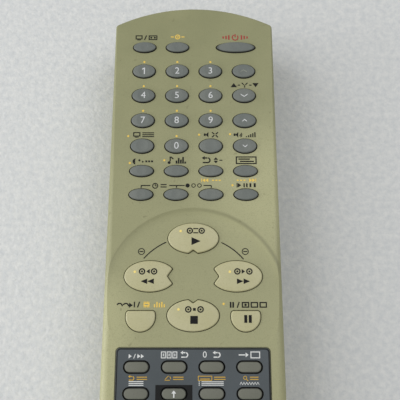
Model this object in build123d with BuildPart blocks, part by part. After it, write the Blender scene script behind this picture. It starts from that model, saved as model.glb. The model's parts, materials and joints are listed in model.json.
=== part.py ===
from build123d import *

import os
from dataclasses import dataclass
from math import atan2, cos, degrees, hypot, pi, radians, sin, sqrt, tan

# A hand-held remote control for a tape and disc player: a two-part snap case, a rubber mat with
# separate travelling keys, a circuit board, an infrared emitter behind its window, two cells and
# a battery cover that slides off over the tail.
# Millimetres. +Z is up through the keys, +Y points to the emitter end, and the origin is under
# the middle of the case, on the surface that it lies on.

# Case
case_width = 57.0
tail_width = 59.0
case_length = 197.6
side_wall = 2.0
top_wall = 2.2
base_wall = 2.0
nose_rise = 6.8
tail_rise = 5.0
nose_corner = 1.2
tail_corner = 9.0
top_edge_height = 2.2
top_edge_nose = 0.7
top_edge_tail = 3.6
base_edge_width = 5.0
seam_height = 11.0
tongue_height = 1.5
seam_clearance = 0.1

# Cells, their bay and contacts
cell_diameter = 14.5
cell_length = 50.5
cell_nub_diameter = 5.5
cell_nub_length = 1.2
cell_edge = 0.8
cell_gap = 0.7
cell_clearance = 0.4
bay_wall = 1.5
bay_ceiling = 1.5
bay_from_tail = 12.0
contact_thickness = 0.5
contact_height = 10.0
contact_width = 10.5
contact_clearance = 0.2
spring_length = 6.0
spring_base_radius = 4.4
spring_tip_radius = 2.6
spring_wire = 0.8
spring_turns = 4
spring_let_in = 0.1

# Battery cover
cover_margin = 2.5
cover_clearance = 0.15
cover_recess = 0.2
rail_width = 1.3
rail_root = 1.5
rail_height = 1.0
rail_clearance = 0.1
rail_headroom = 0.3
rail_tongue = 3.0
grip_grooves = 6
grip_pitch = 2.4
grip_length = 22.0
grip_radius = 0.9
grip_depth = 0.4
grip_from_tail = 26.0

# Board and keypad
board_thickness = 1.5
board_clearance = 0.5
board_past_keys = 6.0
post_radius = 2.2
post_from_side = 6.5
post_spacing_y = 62.0
post_middle_y = 42.0
key_travel = 1.0
flange_thickness = 0.8
flange_gap = 0.05
flange_lip = 0.4
mat_clearance = 0.25
floor_clearance = 0.2

# Key places, measured from the tip of the nose and from the sides of the case
key_side_margin = 6.825
first_row_from_nose = 16.1
number_row_pitch = 9.4
upper_function_pitch = 9.0
lower_function_pitch = 8.3
play_below_functions = 14.9
transport_side_margin = 6.0
transport_middle_gap = 11.5
transport_spread_y = 12.6
side_key_margin = 6.9
side_key_spacing = 3.725
side_key_below_transport = 12.9
panel_row_below_transport = 28.5
panel_row_pitch = 8.0

# Key sizes: widths follow from the columns and the spacing between neighbours
number_key_spacing = 3.85
number_key_depth = 5.1
function_key_spacing = 3.75
function_key_depth = 3.9
power_from_column = 2.2
power_past_functions = 0.25
panel_key_spacing = 4.2
panel_key_depth = 3.25
transport_key_depth = 10.1
transport_end_notch = 1.2
transport_side_notch = 2.8
transport_notch_angle = 108.0
transport_horn = 0.55
side_key_bowl = 4.8
side_key_flat = 1.8
side_key_corner = 0.9
rubber_gap = 0.3
panel_gap = 0.45
transport_gap = 0.25
rubber_rise = 0.9
panel_rise = 0.4
transport_rise = 0.5
rubber_crown = 22.0
power_crown = 45.0
panel_crown = 30.0
transport_crown = 80.0
key_edge = 0.45
dish_ball = 12.0
dish_land = 0.05

# Inlaid panel
panel_thickness = 0.8
panel_proud = 0.15
panel_fit = 0.3
panel_side_margin = 2.7
panel_nose_margin = 4.2
panel_tail_margin = 4.0
panel_corner = 1.2

# Scooped middle
scoop_radius = 30.5
scoop_depth = 0.7
scoop_slope = 3.2
scoop_past_play = 10.3

# Infrared emitter and window
window_width = 22.0
window_height = 7.0
window_lip = 1.5
window_backing = 1.0
window_clearance = 0.1
emitter_radius = 2.5
emitter_flange = 0.4
emitter_flange_length = 1.0
emitter_length = 8.6
emitter_setback = 0.4
emitter_lead = 0.5
emitter_lead_pitch = 2.54
emitter_lead_run = 2.5
emitter_lead_hole = 0.5

# Parts under the board
chip_size = (17.0, 7.4, 2.6)
chip_pins = 10
chip_pin = 0.6
chip_y = 34.0
resonator_size = (7.0, 3.0, 7.5)
resonator_x = 15.0
resonator_y = 30.0
capacitor_radius = 2.5
capacitor_length = 8.0
capacitor_x = -15.0
capacitor_y = 58.0
transistor_radius = 2.3
transistor_length = 4.8
transistor_x = 12.0
transistor_y = 62.0
component_edge = 0.3

# Levels, from the resting face up
cell_axis = base_wall + cell_clearance + cell_diameter / 2
ceiling_under = cell_axis + cell_diameter / 2 + cell_clearance
board_under = ceiling_under + bay_ceiling
board_top = board_under + board_thickness
flange_under = board_top + floor_clearance + key_travel
top_under = flange_under + flange_thickness + flange_gap
case_top = top_under + top_wall
rail_under = base_wall + rail_clearance
rail_top = rail_under + rail_height
rail_roof = rail_top + rail_headroom

# Plan positions
nose_tip = case_length / 2
tail_tip = -case_length / 2
past_tail = tail_tip - tail_width
cell_x = (cell_diameter + cell_gap) / 2
bay_half = cell_x + cell_diameter / 2 + cell_clearance
bay_tail = tail_tip + bay_from_tail
bay_length = cell_length + spring_length + 2 * (contact_thickness + contact_clearance)
bay_nose = bay_tail + bay_length
cover_half = bay_half + cover_margin
cover_nose = bay_nose - cover_clearance
rail_outer = cover_half + rail_width
rail_inner = cover_half - rail_root
post_spacing_x = case_width - 2 * post_from_side
column_pitch = (case_width - 2 * key_side_margin + number_key_spacing) / 4
inner_column = column_pitch / 2
outer_column = inner_column + column_pitch
number_key_width = column_pitch - number_key_spacing
function_key_width = column_pitch - function_key_spacing
panel_key_width = column_pitch - panel_key_spacing
power_left = inner_column + power_from_column
power_right = outer_column + function_key_width / 2 + power_past_functions
power_key_x = (power_left + power_right) / 2
power_key_width = power_right - power_left
transport_key_width = (case_width - transport_middle_gap) / 2 - transport_side_margin
transport_spread_x = (transport_middle_gap + transport_key_width) / 2
side_key_width = case_width / 2 - side_key_margin - transport_key_width / 2 - side_key_spacing
side_key_x = case_width / 2 - side_key_margin - side_key_width / 2
first_row = nose_tip - first_row_from_nose
number_row_count = 4
last_number_row = first_row - number_row_count * number_row_pitch
upper_function_row = last_number_row - upper_function_pitch
lower_function_row = upper_function_row - lower_function_pitch
play_row = lower_function_row - play_below_functions
transport_middle = play_row - transport_spread_y
stop_row = transport_middle - transport_spread_y
panel_first_row = transport_middle - panel_row_below_transport
panel_rows = 4
panel_nose = panel_first_row + panel_key_depth / 2 + panel_nose_margin
panel_tail = panel_first_row - (panel_rows - 1) * panel_row_pitch - panel_key_depth / 2 - panel_tail_margin
panel_half = outer_column + panel_key_width / 2 + panel_side_margin
board_tail = panel_tail - board_past_keys
scoop_apex = play_row + scoop_past_play
scoop_middle = scoop_apex - scoop_radius
scoop_run = scoop_apex - panel_nose
scoop_floor = case_top - scoop_depth * (scoop_middle - panel_nose) / scoop_run
scoop_fall = degrees(atan2(scoop_depth, scoop_run))
scoop_cut = top_wall + rubber_rise
scoop_mouth = scoop_radius + (scoop_cut - scoop_depth) / tan(2 * atan2(scoop_depth, scoop_slope))
arc_steps = (0, 30, 60, 90)


@dataclass(frozen=True)
class KeyStyle:
    """The sizes that keys of one kind share.

    A notch is a wedge cut towards the middle of the transport keys. A flat turns the oval into a
    bowl with a straight edge on its nose side, that far from the key's middle. A dished key has a
    shallow round hollow for the fingertip.
    """

    width: float
    depth: float
    gap: float
    top: float
    crown: float
    slot: bool = False
    notch: float = 0.0
    notch_turn: float = 0.0
    flat: float = 0.0
    dished: bool = False


@dataclass(frozen=True)
class Key:
    """One key: its name, its kind, its place and how far it is turned."""

    name: str
    style: KeyStyle
    x: float
    y: float
    turn: float = 0.0


number_style = KeyStyle(
    number_key_width, number_key_depth, rubber_gap, case_top + rubber_rise, rubber_crown, dished=True
)
function_style = KeyStyle(
    function_key_width, function_key_depth, rubber_gap, case_top + rubber_rise, rubber_crown, dished=True
)
power_style = KeyStyle(
    power_key_width, function_key_depth, rubber_gap, case_top + rubber_rise, power_crown, dished=True
)
panel_style = KeyStyle(
    panel_key_width,
    panel_key_depth,
    panel_gap,
    case_top + panel_proud + panel_rise,
    panel_crown,
    slot=True,
)
end_style = KeyStyle(
    transport_key_width,
    transport_key_depth,
    transport_gap,
    case_top + transport_rise,
    transport_crown,
    notch=transport_end_notch,
    notch_turn=-90,
)
wing_style = KeyStyle(
    transport_key_width,
    transport_key_depth,
    transport_gap,
    case_top + transport_rise,
    transport_crown,
    notch=transport_side_notch,
)
bowl_style = KeyStyle(
    side_key_width,
    2 * side_key_bowl,
    transport_gap,
    case_top + transport_rise,
    transport_crown,
    flat=side_key_flat,
)


def key_row(names, style, y):
    """Keys side by side on the columns, from left to right."""
    first = -(len(names) - 1) / 2
    return [Key(name, style, (first + i) * column_pitch, y) for i, name in enumerate(names)]


case_keys = [
    Key("key_tape_mode", function_style, -outer_column, first_row),
    Key("key_disc_mode", function_style, -inner_column, first_row),
    Key("key_power", power_style, power_key_x, first_row),
]
number_rows = (
    ("key_1", "key_2", "key_3", "key_channel_up"),
    ("key_4", "key_5", "key_6", "key_channel_down"),
    ("key_7", "key_8", "key_9", "key_volume_up"),
    ("key_display", "key_0", "key_mute", "key_volume_down"),
)
for row, names in enumerate(number_rows, start=1):
    case_keys += key_row(names, number_style, first_row - row * number_row_pitch)
case_keys += key_row(
    ("key_sleep", "key_audio", "key_last_channel", "key_caption"), function_style, upper_function_row
)
case_keys += key_row(
    ("key_timer", "key_record", "key_skip_back", "key_skip_forward"), function_style, lower_function_row
)
case_keys += [
    Key("key_play", end_style, 0, play_row),
    Key("key_rewind", wing_style, -transport_spread_x, transport_middle),
    Key("key_fast_forward", wing_style, transport_spread_x, transport_middle, turn=180),
    Key("key_stop", end_style, 0, stop_row, turn=180),
    Key("key_memory", bowl_style, -side_key_x, transport_middle - side_key_below_transport),
    Key("key_pause", bowl_style, side_key_x, transport_middle - side_key_below_transport),
]
panel_key_rows = (
    ("key_tape_speed", "key_counter_reset", "key_zero_return", "key_input"),
    ("key_menu", "key_up", "key_program", "key_tracking"),
    ("key_left", "key_enter", "key_right", "key_repeat"),
    ("key_title", "key_down", "key_setup", "key_clear"),
)
panel_keys = []
for row, names in enumerate(panel_key_rows):
    panel_keys += key_row(names, panel_style, panel_first_row - row * panel_row_pitch)
all_keys = case_keys + panel_keys


def case_outline(nose_inset, tail_inset, nose_radius, tail_radius):
    """The case's plan, drawn in by one margin at the nose and another at the tail."""
    nose_half = case_width / 2 - nose_inset
    tail_half = tail_width / 2 - tail_inset
    nose_end = nose_tip - nose_inset
    tail_end = tail_tip + tail_inset
    nose_left = (-nose_half, nose_end - nose_rise)
    nose_right = (nose_half, nose_end - nose_rise)
    tail_left = (-tail_half, tail_end + tail_rise)
    tail_right = (tail_half, tail_end + tail_rise)
    with BuildSketch(mode=Mode.PRIVATE) as outline:
        with BuildLine():
            Line(tail_left, nose_left)
            ThreePointArc(nose_left, (0, nose_end), nose_right)
            Line(nose_right, tail_right)
            ThreePointArc(tail_right, (0, tail_end), tail_left)
        make_face()
        fillet(outline.vertices().group_by(Axis.Y)[-1], nose_radius)
        fillet(outline.vertices().group_by(Axis.Y)[0], tail_radius)
    return outline.sketch


def wall_outline(inset):
    """The case's plan drawn in evenly, as its walls are."""
    return case_outline(inset, inset, nose_corner, tail_corner)


def key_outline(style, grow=0.0, notched=True):
    """A key's outline about its own middle, grown on every side by a margin."""
    half_width = style.width / 2 + grow
    half_depth = style.depth / 2 + grow
    with BuildSketch(mode=Mode.PRIVATE) as outline:
        if style.slot:
            SlotOverall(2 * half_width, 2 * half_depth)
        else:
            Ellipse(half_width, half_depth)
        if style.flat:
            with Locations((0, style.flat + grow)):
                Rectangle(
                    2 * half_width, half_depth, align=(Align.CENTER, Align.MIN), mode=Mode.SUBTRACT
                )
            fillet(outline.vertices().group_by(Axis.Y)[-1], side_key_corner + grow)
        if style.notch and notched:
            half_angle = radians(transport_notch_angle / 2)
            turn = radians(style.notch_turn)
            reach = abs(half_width * cos(turn)) + abs(half_depth * sin(turn))
            apex = reach - grow - style.notch + grow / sin(half_angle)
            mouth = (style.notch + grow) * sin(half_angle) / cos(half_angle)
            Polygon(
                (apex, 0),
                (apex + style.notch + grow, mouth),
                (apex + style.notch + grow, -mouth),
                rotation=style.notch_turn,
                mode=Mode.SUBTRACT,
            )
            tip = (apex * cos(turn), apex * sin(turn), 0)
            fillet(outline.vertices().sort_by_distance(tip)[:3], transport_horn)
    return outline.sketch


def draw_keys(keys, margin=0.0, notched=True):
    """Draw keys' outlines into the open sketch, each grown by its own gap and a margin."""
    for key in keys:
        with Locations((key.x, key.y)):
            add(key_outline(key.style, key.style.gap + margin, notched), rotation=key.turn)


def block(low, high, mode=Mode.ADD):
    """A box between two corners, joined to the open part or cut from it."""
    size = Vector(*high) - Vector(*low)
    with Locations((Vector(*low) + Vector(*high)) * 0.5):
        Box(size.X, size.Y, size.Z, mode=mode)


def save(builder, name):
    """Label a finished piece and write it."""
    builder.part.label = name
    export_step(builder.part, f"parts/{name}.step")


os.makedirs("parts", exist_ok=True)

# Upper case: straight walls, a rounded rim that widens from nose to tail, and a flat top
with BuildPart() as upper_case:
    with BuildSketch(Plane.XY.offset(seam_height)):
        add(wall_outline(0))
    extrude(amount=case_top - top_edge_height - seam_height)
    for step in arc_steps:
        rise = top_edge_height * (1 - sin(radians(step)))
        drawn_in = 1 - cos(radians(step))
        with BuildSketch(Plane.XY.offset(case_top - rise)):
            add(
                case_outline(
                    top_edge_nose * drawn_in, top_edge_tail * drawn_in, nose_corner, tail_corner
                )
            )
    loft()
    # Hollow inside, with a step in the rim for the lower case's tongue
    with BuildSketch(Plane.XY.offset(seam_height)):
        add(wall_outline(side_wall))
    extrude(amount=top_under - seam_height, mode=Mode.SUBTRACT)
    with BuildSketch(Plane.XY.offset(seam_height)):
        add(wall_outline(side_wall / 2))
    extrude(amount=tongue_height + seam_clearance, mode=Mode.SUBTRACT)
    # Scooped middle: deepest under the number keys and running out at the panel, with a soft edge
    scoop = Plane(Location((0, scoop_middle, scoop_floor), (-scoop_fall, 0, 0)))
    with BuildSketch(Plane(scoop.origin, x_dir=scoop.x_dir, z_dir=-scoop.y_dir)):
        with BuildLine():
            floor_edge = (scoop_radius - scoop_slope, 0)
            Line((0, 0), floor_edge)
            TangentArc(floor_edge, (scoop_radius, scoop_depth), tangent=(1, 0))
            Polyline((scoop_radius, scoop_depth), (scoop_mouth, scoop_cut), (0, scoop_cut), (0, 0))
        make_face()
    revolve(axis=Axis(scoop.origin, scoop.z_dir), mode=Mode.SUBTRACT)
    # Recess for the inlaid panel
    with BuildSketch(Plane.XY.offset(case_top + panel_proud)):
        with Locations((0, (panel_nose + panel_tail) / 2)):
            RectangleRounded(
                2 * (panel_half + panel_fit),
                panel_nose - panel_tail + 2 * panel_fit,
                panel_corner + panel_fit,
            )
    extrude(amount=-panel_thickness, mode=Mode.SUBTRACT)
    # Openings for the keys
    with BuildSketch(Plane.XY.offset(top_under)):
        draw_keys(all_keys)
    extrude(amount=2 * top_wall, mode=Mode.SUBTRACT)
    # Notch in the nose for the infrared window
    block(
        (-window_width / 2, nose_tip - nose_rise, seam_height),
        (window_width / 2, nose_tip, seam_height + window_height),
        Mode.SUBTRACT,
    )
save(upper_case, "upper_case")

# Outer form of the lower case, a bowl that is drawn in towards its resting face
with BuildPart() as lower_form:
    for step in arc_steps:
        inset = base_edge_width * (1 - cos(radians(step)))
        with BuildSketch(Plane.XY.offset(seam_height * (1 - sin(radians(step))))):
            add(wall_outline(inset))
    loft()

# Lower case: the bowl hollowed out, with a tongue, the battery bay and posts for the board
with BuildPart() as lower_case:
    add(lower_form.part)
    for step in arc_steps:
        inset = side_wall + base_edge_width * (1 - cos(radians(step)))
        height = seam_height - (seam_height - base_wall) * sin(radians(step))
        with BuildSketch(Plane.XY.offset(height)):
            add(wall_outline(inset))
    loft(mode=Mode.SUBTRACT)
    with BuildSketch(Plane.XY.offset(seam_height)):
        add(wall_outline(side_wall / 2 + seam_clearance))
        add(wall_outline(side_wall), mode=Mode.SUBTRACT)
        with Locations((0, nose_tip)):
            Rectangle(
                window_width + 2 * (window_lip + window_clearance), 2 * nose_rise, mode=Mode.SUBTRACT
            )
    extrude(amount=tongue_height)
    # Battery bay, standing clear of the cover's rails except at its nose wall
    block(
        (-bay_half - bay_wall, bay_tail - bay_wall, rail_roof),
        (bay_half + bay_wall, bay_nose + bay_wall, board_under),
    )
    block((-bay_half, bay_nose, base_wall / 2), (bay_half, bay_nose + bay_wall, rail_roof))
    block(
        (-bay_half, bay_tail, -base_wall),
        (bay_half, bay_nose, ceiling_under),
        Mode.SUBTRACT,
    )
    # Webs that tie the bay to the side walls
    web_reach = (tail_width - side_wall) / 2
    for web_y in (bay_tail, bay_nose):
        with BuildSketch(Plane.XZ.offset(-web_y)):
            for side in (-1, 1):
                with BuildLine():
                    Polyline(
                        (side * (bay_half + bay_wall / 2), rail_roof),
                        (side * (rail_outer + rail_width), rail_roof),
                        (side * web_reach, seam_height - tongue_height),
                        (side * (bay_half + bay_wall / 2), seam_height + tongue_height),
                        close=True,
                    )
                make_face()
        extrude(amount=bay_wall / 2, both=True)
    # Posts under the board
    with BuildSketch(Plane.XY.offset(base_wall / 2)):
        with Locations((0, post_middle_y)):
            with GridLocations(post_spacing_x, post_spacing_y, 2, 2):
                Circle(post_radius)
    extrude(amount=board_under - base_wall / 2)
    # Way out for the cover: its opening in the base, and room for its rails through the tail wall
    block(
        (-cover_half - cover_clearance, past_tail, -base_wall),
        (cover_half + cover_clearance, bay_nose, base_wall),
        Mode.SUBTRACT,
    )
    block(
        (-rail_outer - cover_clearance, past_tail, base_wall),
        (rail_outer + cover_clearance, bay_nose, rail_roof),
        Mode.SUBTRACT,
    )
    # Slots for the ends of the rails, beside the bay's nose wall
    for side in (-1, 1):
        slot = sorted((side * (rail_inner - cover_clearance), side * (rail_outer + cover_clearance)))
        block(
            (slot[0], bay_nose, base_wall),
            (slot[1], cover_nose + rail_tongue + cover_clearance, rail_roof),
            Mode.SUBTRACT,
        )
save(lower_case, "lower_case")

# Battery cover: a slice of the lower case's own form, with rails along both sides
with BuildPart() as cover_space:
    block((-cover_half, past_tail, cover_recess), (cover_half, cover_nose, base_wall))
    block(
        (-rail_outer, past_tail, rail_under),
        (rail_outer, tail_tip + base_edge_width, rail_top),
    )
    block((-cover_half, past_tail, base_wall), (cover_half, tail_tip + base_edge_width, rail_top))

with BuildPart() as battery_cover:
    add(lower_form.part)
    add(cover_space.part, mode=Mode.INTERSECT)
    for side in (-1, 1):
        root = sorted((side * rail_inner, side * cover_half))
        rail = sorted((side * rail_inner, side * rail_outer))
        block((root[0], tail_tip + base_edge_width, base_wall / 2), (root[1], cover_nose, rail_top))
        block(
            (rail[0], tail_tip + base_edge_width, rail_under),
            (rail[1], cover_nose + rail_tongue, rail_top),
        )
    with Locations((0, tail_tip + grip_from_tail, cover_recess - grip_radius + grip_depth)):
        with GridLocations(1, grip_pitch, 1, grip_grooves):
            Cylinder(grip_radius, grip_length, rotation=(0, 90, 0), mode=Mode.SUBTRACT)
save(battery_cover, "battery_cover")

# Inlaid panel
with BuildPart() as function_panel:
    with BuildSketch(Plane.XY.offset(case_top + panel_proud - panel_thickness)):
        with Locations((0, (panel_nose + panel_tail) / 2)):
            RectangleRounded(2 * panel_half, panel_nose - panel_tail, panel_corner)
    extrude(amount=panel_thickness)
    chamfer(function_panel.faces().sort_by(Axis.Z)[-1].edges(), panel_proud)
    with BuildSketch(Plane.XY.offset(case_top + panel_proud - panel_thickness)):
        draw_keys(panel_keys)
    extrude(amount=panel_thickness, mode=Mode.SUBTRACT)
save(function_panel, "function_panel")

# Keypad mat, with a well round every key
with BuildPart() as keypad_mat:
    with BuildSketch(Plane.XY.offset(board_top)):
        add(wall_outline(side_wall + board_clearance))
        with Locations((0, board_tail)):
            Rectangle(tail_width, case_length, align=(Align.CENTER, Align.MAX), mode=Mode.SUBTRACT)
    extrude(amount=top_under - board_top)
    with BuildSketch(Plane.XY.offset(board_top)):
        draw_keys(all_keys, flange_lip + mat_clearance, notched=False)
    extrude(amount=top_under - board_top, mode=Mode.SUBTRACT)
save(keypad_mat, "keypad_mat")

# Keys: a crowned cap, dished on the rubber keys, and a flange that bears on the case from inside
for key in all_keys:
    with BuildPart() as cap:
        with BuildSketch(Plane.XY.offset(flange_under)):
            draw_keys([key], flange_lip, notched=False)
        extrude(amount=flange_thickness)
        with BuildSketch(Plane.XY.offset(flange_under)):
            with Locations((key.x, key.y)):
                add(key_outline(key.style), rotation=key.turn)
        extrude(amount=key.style.top - flange_under)
        with Locations((key.x, key.y, key.style.top - key.style.crown)):
            Sphere(key.style.crown, mode=Mode.INTERSECT)
        fillet(cap.faces().sort_by(Axis.Z)[-1].edges(), key_edge)
        if key.style.dished:
            dish_reach = key.style.depth / 2 - key_edge - dish_land
            dish_depth = dish_reach**2 / 2 * (1 / dish_ball + 1 / key.style.crown)
            with Locations((key.x, key.y, key.style.top - dish_depth + dish_ball)):
                Sphere(dish_ball, mode=Mode.SUBTRACT)
    save(cap, key.name)

# Circuit board, with two holes for the emitter's leads
emitter_axis = board_under - emitter_radius - emitter_flange
emitter_tip = nose_tip - side_wall - window_clearance - window_backing - emitter_setback
emitter_back = emitter_tip - emitter_length
lead_y = emitter_back - emitter_lead_run

with BuildPart() as circuit_board:
    with BuildSketch(Plane.XY.offset(board_under)):
        add(wall_outline(side_wall + board_clearance))
        with Locations((0, board_tail)):
            Rectangle(tail_width, case_length, align=(Align.CENTER, Align.MAX), mode=Mode.SUBTRACT)
        with Locations((0, lead_y)):
            with GridLocations(emitter_lead_pitch, 1, 2, 1):
                Circle(emitter_lead_hole, mode=Mode.SUBTRACT)
    extrude(amount=board_thickness)
save(circuit_board, "circuit_board")

# Infrared emitter: a domed lamp on its side, with two leads bent up into the board
with BuildPart() as infrared_emitter:
    shoulder = emitter_back + emitter_flange_length
    dome = emitter_tip - emitter_radius
    with BuildSketch(Plane.XY.offset(emitter_axis)):
        with BuildLine():
            Polyline(
                (0, emitter_tip),
                (0, emitter_back),
                (emitter_radius + emitter_flange, emitter_back),
                (emitter_radius + emitter_flange, shoulder),
                (emitter_radius, shoulder),
                (emitter_radius, dome),
            )
            RadiusArc((emitter_radius, dome), (0, emitter_tip), -emitter_radius)
        make_face()
    revolve(axis=Axis((0, 0, emitter_axis), (0, 1, 0)))
    for side in (-1, 1):
        lead_x = side * emitter_lead_pitch / 2
        low = lead_x - emitter_lead / 2
        high = lead_x + emitter_lead / 2
        under = emitter_axis - emitter_lead / 2
        block((low, lead_y - emitter_lead / 2, under), (high, emitter_back, under + emitter_lead))
        block(
            (low, lead_y - emitter_lead / 2, under),
            (high, lead_y + emitter_lead / 2, board_top - floor_clearance),
        )
save(infrared_emitter, "infrared_emitter")

# Infrared window: a piece of the nose wall's own curve, with a wider lip behind the wall
with BuildPart() as infrared_window:
    lip_front = side_wall + window_clearance
    lip_back = lip_front + window_backing
    with BuildSketch(Plane.XY.offset(seam_height)):
        add(wall_outline(0))
        add(wall_outline(lip_back), mode=Mode.SUBTRACT)
        with Locations((0, nose_tip)):
            Rectangle(
                window_width - 2 * window_clearance, 2 * (nose_rise + lip_back), mode=Mode.INTERSECT
            )
    extrude(amount=window_height - window_clearance)
    with BuildSketch(Plane.XY.offset(seam_height)):
        add(wall_outline(lip_front))
        add(wall_outline(lip_back), mode=Mode.SUBTRACT)
        with Locations((0, nose_tip)):
            Rectangle(window_width + 2 * window_lip, 2 * (nose_rise + lip_back), mode=Mode.INTERSECT)
    extrude(amount=window_height + window_clearance)
save(infrared_window, "infrared_window")

# Parts under the board: the control chip with its legs, a resonator, a capacitor and a transistor
with BuildPart() as board_components:
    with Locations((0, chip_y, board_under)):
        Box(*chip_size, align=(Align.CENTER, Align.CENTER, Align.MAX))
    chamfer(board_components.faces().sort_by(Axis.Z)[0].edges(), component_edge)
    with Locations((0, chip_y, board_under)):
        with GridLocations(chip_size[0] / chip_pins, chip_size[1] + chip_pin, chip_pins, 2):
            Box(
                chip_pin,
                2 * chip_pin,
                chip_size[2] / 2,
                align=(Align.CENTER, Align.CENTER, Align.MAX),
            )
    with BuildSketch(Plane.XY.offset(board_under)):
        with Locations((resonator_x, resonator_y)):
            RectangleRounded(resonator_size[0], resonator_size[1], resonator_size[1] / 3)
    extrude(amount=-resonator_size[2])
    with BuildSketch(Plane.XY.offset(board_under)):
        with Locations((transistor_x, transistor_y)):
            Circle(transistor_radius)
        with Locations((transistor_x, transistor_y - transistor_radius / 2)):
            Rectangle(
                2 * transistor_radius,
                transistor_radius,
                align=(Align.CENTER, Align.MAX),
                mode=Mode.SUBTRACT,
            )
    extrude(amount=-transistor_length)
    with BuildSketch(Plane.XY.offset(board_under)):
        with Locations((capacitor_x, capacitor_y)):
            Circle(capacitor_radius)
    extrude(amount=-capacitor_length)
    fillet(board_components.faces().sort_by(Axis.Z)[0].edges(), component_edge)
save(board_components, "board_components")

# Two cells side by side, the second turned end for end
with BuildPart() as battery_cells:
    for side in (-1, 1):
        flat_end = bay_tail + contact_thickness + contact_clearance + spring_length
        nub_end = bay_nose - contact_thickness - contact_clearance
        if side > 0:
            flat_end = bay_nose - contact_thickness - contact_clearance - spring_length
            nub_end = bay_tail + contact_thickness + contact_clearance
        way = 1 if nub_end > flat_end else -1
        axis_x = side * cell_x
        with BuildSketch(Plane.XY.offset(cell_axis)):
            with BuildLine():
                Polyline(
                    (axis_x, flat_end),
                    (axis_x + cell_diameter / 2 - cell_edge, flat_end),
                    (axis_x + cell_diameter / 2, flat_end + way * cell_edge),
                    (axis_x + cell_diameter / 2, nub_end - way * (cell_nub_length + cell_edge)),
                    (axis_x + cell_diameter / 2 - cell_edge, nub_end - way * cell_nub_length),
                    (axis_x + cell_nub_diameter / 2, nub_end - way * cell_nub_length),
                    (axis_x + cell_nub_diameter / 2, nub_end),
                    (axis_x, nub_end),
                    close=True,
                )
            make_face()
        revolve(axis=Axis((axis_x, 0, cell_axis), (0, 1, 0)))
save(battery_cells, "battery_cells")


def spring_point(turn, start, way):
    """A point on the spring's winding and the direction it runs in there."""
    share = turn / spring_turns
    radius = spring_base_radius + (spring_tip_radius - spring_base_radius) * share
    angle = 2 * pi * turn
    climb = spring_length - spring_wire - 2 * contact_clearance
    point = Vector(radius * cos(angle), way * climb * share, radius * sin(angle))
    shrink = (spring_tip_radius - spring_base_radius) / spring_turns / (2 * pi)
    slope = climb / spring_turns / (2 * pi)
    heading = Vector(
        shrink * cos(angle) - radius * sin(angle),
        way * slope,
        shrink * sin(angle) + radius * cos(angle),
    )
    return start + point, heading.normalized()


def winding(start, way):
    """Half turns of the spring, each of two arcs that share a direction where they meet."""
    for half in range(2 * spring_turns):
        here, out = spring_point(half / 2, start, way)
        there, into = spring_point((half + 1) / 2, start, way)
        span = there - here
        both = out + into
        spread = 1 - out.dot(into)
        reach = sqrt(span.dot(both) ** 2 + 2 * spread * span.dot(span)) - span.dot(both)
        reach = reach / (2 * spread)
        middle = (here + there + (out - into) * reach) * 0.5
        first = TangentArc(here, middle, tangent=out)
        TangentArc(middle, there, tangent=first % 1)


# Contacts: a bridge across both cells at the nose, two single plates at the tail, and two springs
with BuildPart() as battery_contacts:
    plate_under = cell_axis - contact_height / 2
    plate_over = cell_axis + contact_height / 2
    block(
        (-cell_x - contact_width / 2, bay_nose - contact_thickness, plate_under),
        (cell_x + contact_width / 2, bay_nose, plate_over),
    )
    for side in (-1, 1):
        block(
            (side * cell_x - contact_width / 2, bay_tail, plate_under),
            (side * cell_x + contact_width / 2, bay_tail + contact_thickness, plate_over),
        )
    for side in (-1, 1):
        face = bay_tail + contact_thickness if side < 0 else bay_nose - contact_thickness
        way = -side
        start = Vector(side * cell_x, face + way * (spring_wire / 2 - spring_let_in), cell_axis)
        with BuildLine() as coil:
            winding(start, way)
        with BuildSketch(Plane(coil.line @ 0, z_dir=coil.line % 0)):
            Circle(spring_wire / 2)
        sweep(path=coil.line)
save(battery_contacts, "battery_contacts")

spring_gap = (spring_length - spring_wire - 2 * contact_clearance) / spring_turns
spring_step = (spring_base_radius - spring_tip_radius) / spring_turns
print("least gap between turns of a spring:", round(hypot(spring_gap, spring_step) - spring_wire, 2))
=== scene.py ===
import json
import logging
from dataclasses import dataclass
from enum import Enum
from math import atan2, degrees, hypot, radians
from typing import Callable

import bmesh
import bpy
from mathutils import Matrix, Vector

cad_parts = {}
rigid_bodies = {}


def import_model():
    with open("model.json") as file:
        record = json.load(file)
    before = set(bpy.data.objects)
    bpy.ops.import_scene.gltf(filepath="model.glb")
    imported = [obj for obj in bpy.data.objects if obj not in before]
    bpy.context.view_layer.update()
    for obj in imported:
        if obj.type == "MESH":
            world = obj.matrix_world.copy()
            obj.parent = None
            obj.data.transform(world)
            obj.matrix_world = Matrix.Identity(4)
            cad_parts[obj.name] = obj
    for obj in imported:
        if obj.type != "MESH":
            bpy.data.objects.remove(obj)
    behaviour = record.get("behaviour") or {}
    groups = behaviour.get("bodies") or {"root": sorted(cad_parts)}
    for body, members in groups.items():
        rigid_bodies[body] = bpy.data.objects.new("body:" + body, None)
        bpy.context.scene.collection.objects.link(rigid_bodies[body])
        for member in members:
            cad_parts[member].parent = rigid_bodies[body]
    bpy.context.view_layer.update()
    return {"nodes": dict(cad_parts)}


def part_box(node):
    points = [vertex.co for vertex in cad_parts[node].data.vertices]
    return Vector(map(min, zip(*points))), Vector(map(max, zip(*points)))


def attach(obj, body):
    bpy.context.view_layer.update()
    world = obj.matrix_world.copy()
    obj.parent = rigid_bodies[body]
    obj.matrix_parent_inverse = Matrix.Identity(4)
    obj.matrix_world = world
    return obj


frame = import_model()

# A hand-held remote control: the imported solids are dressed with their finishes, and the printed
# and moulded marks on the case, the keys and the panel are modelled here.
# Sizes and places are in millimetres, in the handset's own frame, and MM turns them into metres.

MM = 0.001
LOG = logging.getLogger("handset")
NUMERALS = "1234567890"
OCTAVE_SHARE = 0.55

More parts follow.
